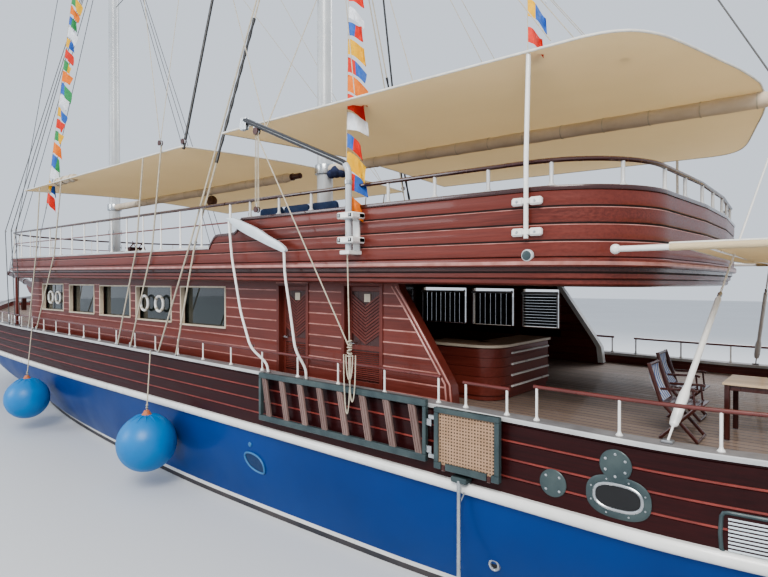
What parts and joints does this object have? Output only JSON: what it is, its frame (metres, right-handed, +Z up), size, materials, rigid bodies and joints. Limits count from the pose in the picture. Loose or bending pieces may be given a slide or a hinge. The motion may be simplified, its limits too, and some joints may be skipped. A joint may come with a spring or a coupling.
{
  "type": "pirate ship tour boat",
  "caption": "Wooden two-masted tour boat of the pirate ship type: blue hull, varnished house, open upper deck with railings and awnings, bowsprit, rudder and propeller.",
  "frame": {"origin": "amidships on the centreline, at the waterline", "axes": "+X to the bow, +Y to port, +Z up; millimetres in the solids, metres in the record"},
  "size_m": [37.375, 9.1422, 30.91],
  "materials": {
    "antifouling": "matt",
    "white": "gloss",
    "hull_white": "gloss",
    "blue": "gloss",
    "mahogany": "varnished",
    "dark_wood": "satin",
    "teak": "weathered",
    "cap": "painted",
    "cloth": "matt",
    "mast": "satin",
    "rope": "matt",
    "steel": "satin",
    "glass": "clear",
    "fender": "satin",
    "bronze": "polished",
    "rail": "painted"
  },
  "bodies": {
    "hull": {"hull_bottom": "antifouling", "boot_stripe": "hull_white", "rub_rail": "hull_white", "hull_topside": "blue", "hull_planking": "mahogany", "bowsprit": "mahogany", "house_side_port": "mahogany", "house_side_starboard": "mahogany", "house_front": "mahogany", "upper_bulwark": "mahogany", "upper_bench": "mahogany", "bar_counter": "mahogany", "bow_stair": "mahogany", "helm_pedestal": "mahogany", "house_bulkhead": "dark_wood", "upper_deck": "dark_wood", "deck_chair_1": "dark_wood", "deck_chair_2": "dark_wood", "deck_chair_3": "dark_wood", "main_deck": "teak", "deck_table": "teak", "cap_rail": "cap", "upper_sill": "cap", "awning_aft": "cloth", "awning_forward": "cloth", "awning_stern": "cloth", "main_boom": "cloth", "mizzen_boom": "cloth", "main_mast": "mast", "mizzen_mast": "mast", "rigging_main": "rope", "rigging_mizzen": "rope", "platform_strut": "steel", "windlass": "steel", "awning_post_port": "white", "awning_post_starboard": "white", "stern_awning_frame": "white", "boom_guys": "white", "davit_bracket": "white", "boarding_hoop": "white", "glass_port": "glass", "glass_starboard": "glass", "fender_aft": "fender", "fender_forward": "fender", "upper_moulding": "rail", "upper_rail_aft": "rail", "upper_rail_forward": "rail", "lower_rail_port": "rail", "lower_rail_gate": "rail", "lower_rail_aft_port": "rail", "lower_rail_starboard": "rail", "lower_rail_aft_starboard": "rail"},
    "steered_rudder": {"rudder": "antifouling"},
    "screw": {"propeller": "bronze"},
    "wheel": {"helm_wheel": "mahogany"},
    "aft_door": {"door_aft": "dark_wood"},
    "forward_door": {"door_forward": "dark_wood"},
    "davit_arm": {"davit": "steel"},
    "platform": {"boarding_platform": "steel"},
    "ladder": {"boarding_ladder": "steel"}
  },
  "joints": [
    {"name": "rudder_turn", "type": "hinge", "parent": "hull", "child": "steered_rudder", "pos_m": [-14.2, 0, -1], "axis": [0, 0, 1], "range_deg": [-35, 35]},
    {"name": "propeller_spin", "type": "hinge", "parent": "hull", "child": "screw", "pos_m": [-12.8, 0, -1.3], "axis": [1, 0, 0], "continuous": true},
    {"name": "helm_turn", "type": "hinge", "parent": "hull", "child": "wheel", "pos_m": [5.71, 0, 5.7007], "axis": [1, 0, 0], "range_deg": [-540, 540]},
    {"name": "door_aft_hinge", "type": "hinge", "parent": "hull", "child": "aft_door", "pos_m": [-9.406, 3.208, 3.5], "axis": [0, 0, -1], "range_deg": [0, 90]},
    {"name": "door_forward_hinge", "type": "hinge", "parent": "hull", "child": "forward_door", "pos_m": [-7.606, 3.208, 3.5], "axis": [0, 0, -1], "range_deg": [0, 90]},
    {"name": "davit_slew", "type": "hinge", "parent": "hull", "child": "davit_arm", "pos_m": [-9.41, 4.1, 5.3], "axis": [0, 0, 1], "range_deg": [0, 100]},
    {"name": "platform_fold", "type": "hinge", "parent": "hull", "child": "platform", "pos_m": [-11.48, 4.02, 1.92], "axis": [-1, 0, 0], "range_deg": [0, 90]},
    {"name": "ladder_fold", "type": "hinge", "parent": "platform", "child": "ladder", "pos_m": [-10.91, 4.02, 2.3], "axis": [0, 0, 1], "range_deg": [0, 45]}
  ],
  "couplings": [
    {"joint": "helm_turn", "follows": "rudder_turn", "ratio": 15.4}
  ]
}
